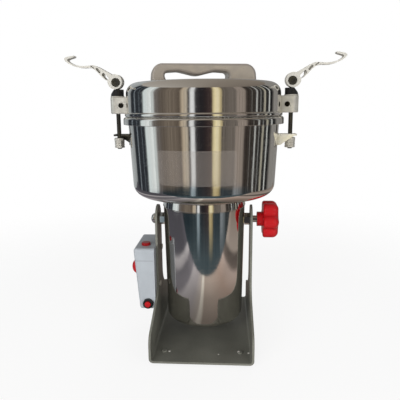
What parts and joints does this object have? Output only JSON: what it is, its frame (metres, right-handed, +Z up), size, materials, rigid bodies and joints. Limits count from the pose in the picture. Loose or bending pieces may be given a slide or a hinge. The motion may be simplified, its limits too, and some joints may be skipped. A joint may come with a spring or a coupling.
{
  "type": "electric spice grinder",
  "caption": "Tilting electric spice grinder: clamped stainless bowl on a motor in a U-bracket, with cam levers, star knob, timer knob and push buttons.",
  "frame": {"origin": "middle of the footprint, on the surface that the rubber feet stand on", "axes": "+Z up along the motor axis, -Y to the front, +X to the right towards the star knob"},
  "size_m": [0.3842, 0.222, 0.4098],
  "materials": {
    "polished_steel": "polished",
    "zinc_steel": "zinc plated",
    "dark_steel": "blackened",
    "bracket_paint": "satin paint",
    "box_plastic": "satin",
    "black_plastic": "satin",
    "red_plastic": "gloss",
    "black_rubber": "matte",
    "white_silicone": "matte",
    "cast_aluminium": "as cast",
    "core_iron": "laminated",
    "copper_wire": "enamelled"
  },
  "bodies": {
    "base": {"base_bracket": "bracket_paint", "rubber_feet": "black_rubber", "foot_screws": "zinc_steel", "control_box": "box_plastic", "box_back_plate": "box_plastic", "box_screws": "zinc_steel", "power_switch": "black_plastic", "timer_body": "black_plastic", "breaker_body": "black_plastic", "breaker_bezel": "black_plastic", "cord_gland": "black_plastic"},
    "power_button": {"power_button": "red_plastic"},
    "timer_knob": {"timer_knob": "red_plastic"},
    "reset_button": {"reset_button": "red_plastic"},
    "grinder": {"motor_shell": "polished_steel", "top_collar": "polished_steel", "base_cap": "zinc_steel", "trunnion_spacers": "zinc_steel", "pivot_bolt_left": "zinc_steel", "pivot_stud_right": "zinc_steel", "lower_end_bell": "cast_aluminium", "upper_end_bell": "cast_aluminium", "tie_bolts": "zinc_steel", "ball_bearings": "zinc_steel", "stator_core": "core_iron", "field_coils": "copper_wire", "brush_holders": "black_plastic", "carbon_brushes": "black_plastic", "grinding_bowl": "polished_steel", "bowl_screws": "zinc_steel", "shaft_seal": "black_rubber", "bowl_ear_right": "zinc_steel", "bowl_ear_left": "zinc_steel"},
    "star_knob": {"star_knob": "red_plastic"},
    "rotor": {"motor_shaft": "polished_steel", "armature_core": "core_iron", "armature_windings": "copper_wire", "commutator": "copper_wire", "cooling_fan": "black_plastic", "lower_blade": "polished_steel", "blade_spacer": "polished_steel", "upper_blade": "polished_steel", "blade_nut": "polished_steel"},
    "gasket": {"lid_gasket": "white_silicone"},
    "lid": {"lid_shell": "polished_steel", "lid_pan": "polished_steel", "lid_handle": "polished_steel", "handle_screws": "zinc_steel", "clamp_blocks": "zinc_steel", "block_screws": "zinc_steel", "seat_washers": "zinc_steel", "cam_seats": "black_plastic"},
    "rod_right": {"clamp_rod_right": "zinc_steel", "rod_nut_right": "zinc_steel", "cam_pin_right": "dark_steel"},
    "rod_left": {"clamp_rod_left": "zinc_steel", "rod_nut_left": "zinc_steel", "cam_pin_left": "dark_steel"},
    "lever_right": {"cam_lever_right": "zinc_steel"},
    "lever_left": {"cam_lever_left": "zinc_steel"}
  },
  "joints": [
    {"name": "tilt", "type": "hinge", "parent": "base", "child": "grinder", "pos_m": [0, 0, 0.178], "axis": [1, 0, 0], "range_deg": [0, 90]},
    {"name": "star_turn", "type": "hinge", "parent": "grinder", "child": "star_knob", "pos_m": [0.09, 0, 0.178], "axis": [1, 0, 0], "continuous": true},
    {"name": "spindle", "type": "hinge", "parent": "grinder", "child": "rotor", "pos_m": [0, 0, 0.13], "axis": [0, 0, 1], "continuous": true},
    {"name": "lid_lift", "type": "slide", "parent": "grinder", "child": "gasket", "axis": [0, 0, 1], "range_m": [0, 0.048]},
    {"name": "lid_twist", "type": "hinge", "parent": "gasket", "child": "lid", "pos_m": [0, 0, 0.34], "axis": [0, 0, 1], "range_deg": [0, 149]},
    {"name": "rod_draw_right", "type": "slide", "parent": "lid", "child": "rod_right", "axis": [0, 0, 1], "range_m": [0, 0.0022]},
    {"name": "rod_draw_left", "type": "slide", "parent": "lid", "child": "rod_left", "axis": [0, 0, 1], "range_m": [0, 0.0022]},
    {"name": "lever_right", "type": "hinge", "parent": "rod_right", "child": "lever_right", "pos_m": [0.121, 0, 0.3728], "axis": [0, 1, 0], "range_deg": [0, 80]},
    {"name": "lever_left", "type": "hinge", "parent": "rod_left", "child": "lever_left", "pos_m": [-0.121, 0, 0.3728], "axis": [0, -1, 0], "range_deg": [0, 80]},
    {"name": "timer_turn", "type": "hinge", "parent": "base", "child": "timer_knob", "pos_m": [-0.09699, 0, 0.103], "axis": [-0.9971, 0, -0.0759], "range_deg": [0, 300]},
    {"name": "power_press", "type": "slide", "parent": "base", "child": "power_button", "axis": [0, 0, -1], "range_m": [0, 0.0025], "stiffness_N_per_m": 400},
    {"name": "reset_press", "type": "slide", "parent": "base", "child": "reset_button", "axis": [0, 1, 0], "range_m": [0, 0.003], "stiffness_N_per_m": 300}
  ],
  "couplings": [
    {"joint": "lid_twist", "follows": "lid_lift", "rad_per_m": 54.1},
    {"joint": "rod_draw_right", "follows": "lever_right", "m_per_rad": 0.0015756},
    {"joint": "rod_draw_left", "follows": "lever_left", "m_per_rad": 0.0015756}
  ]
}
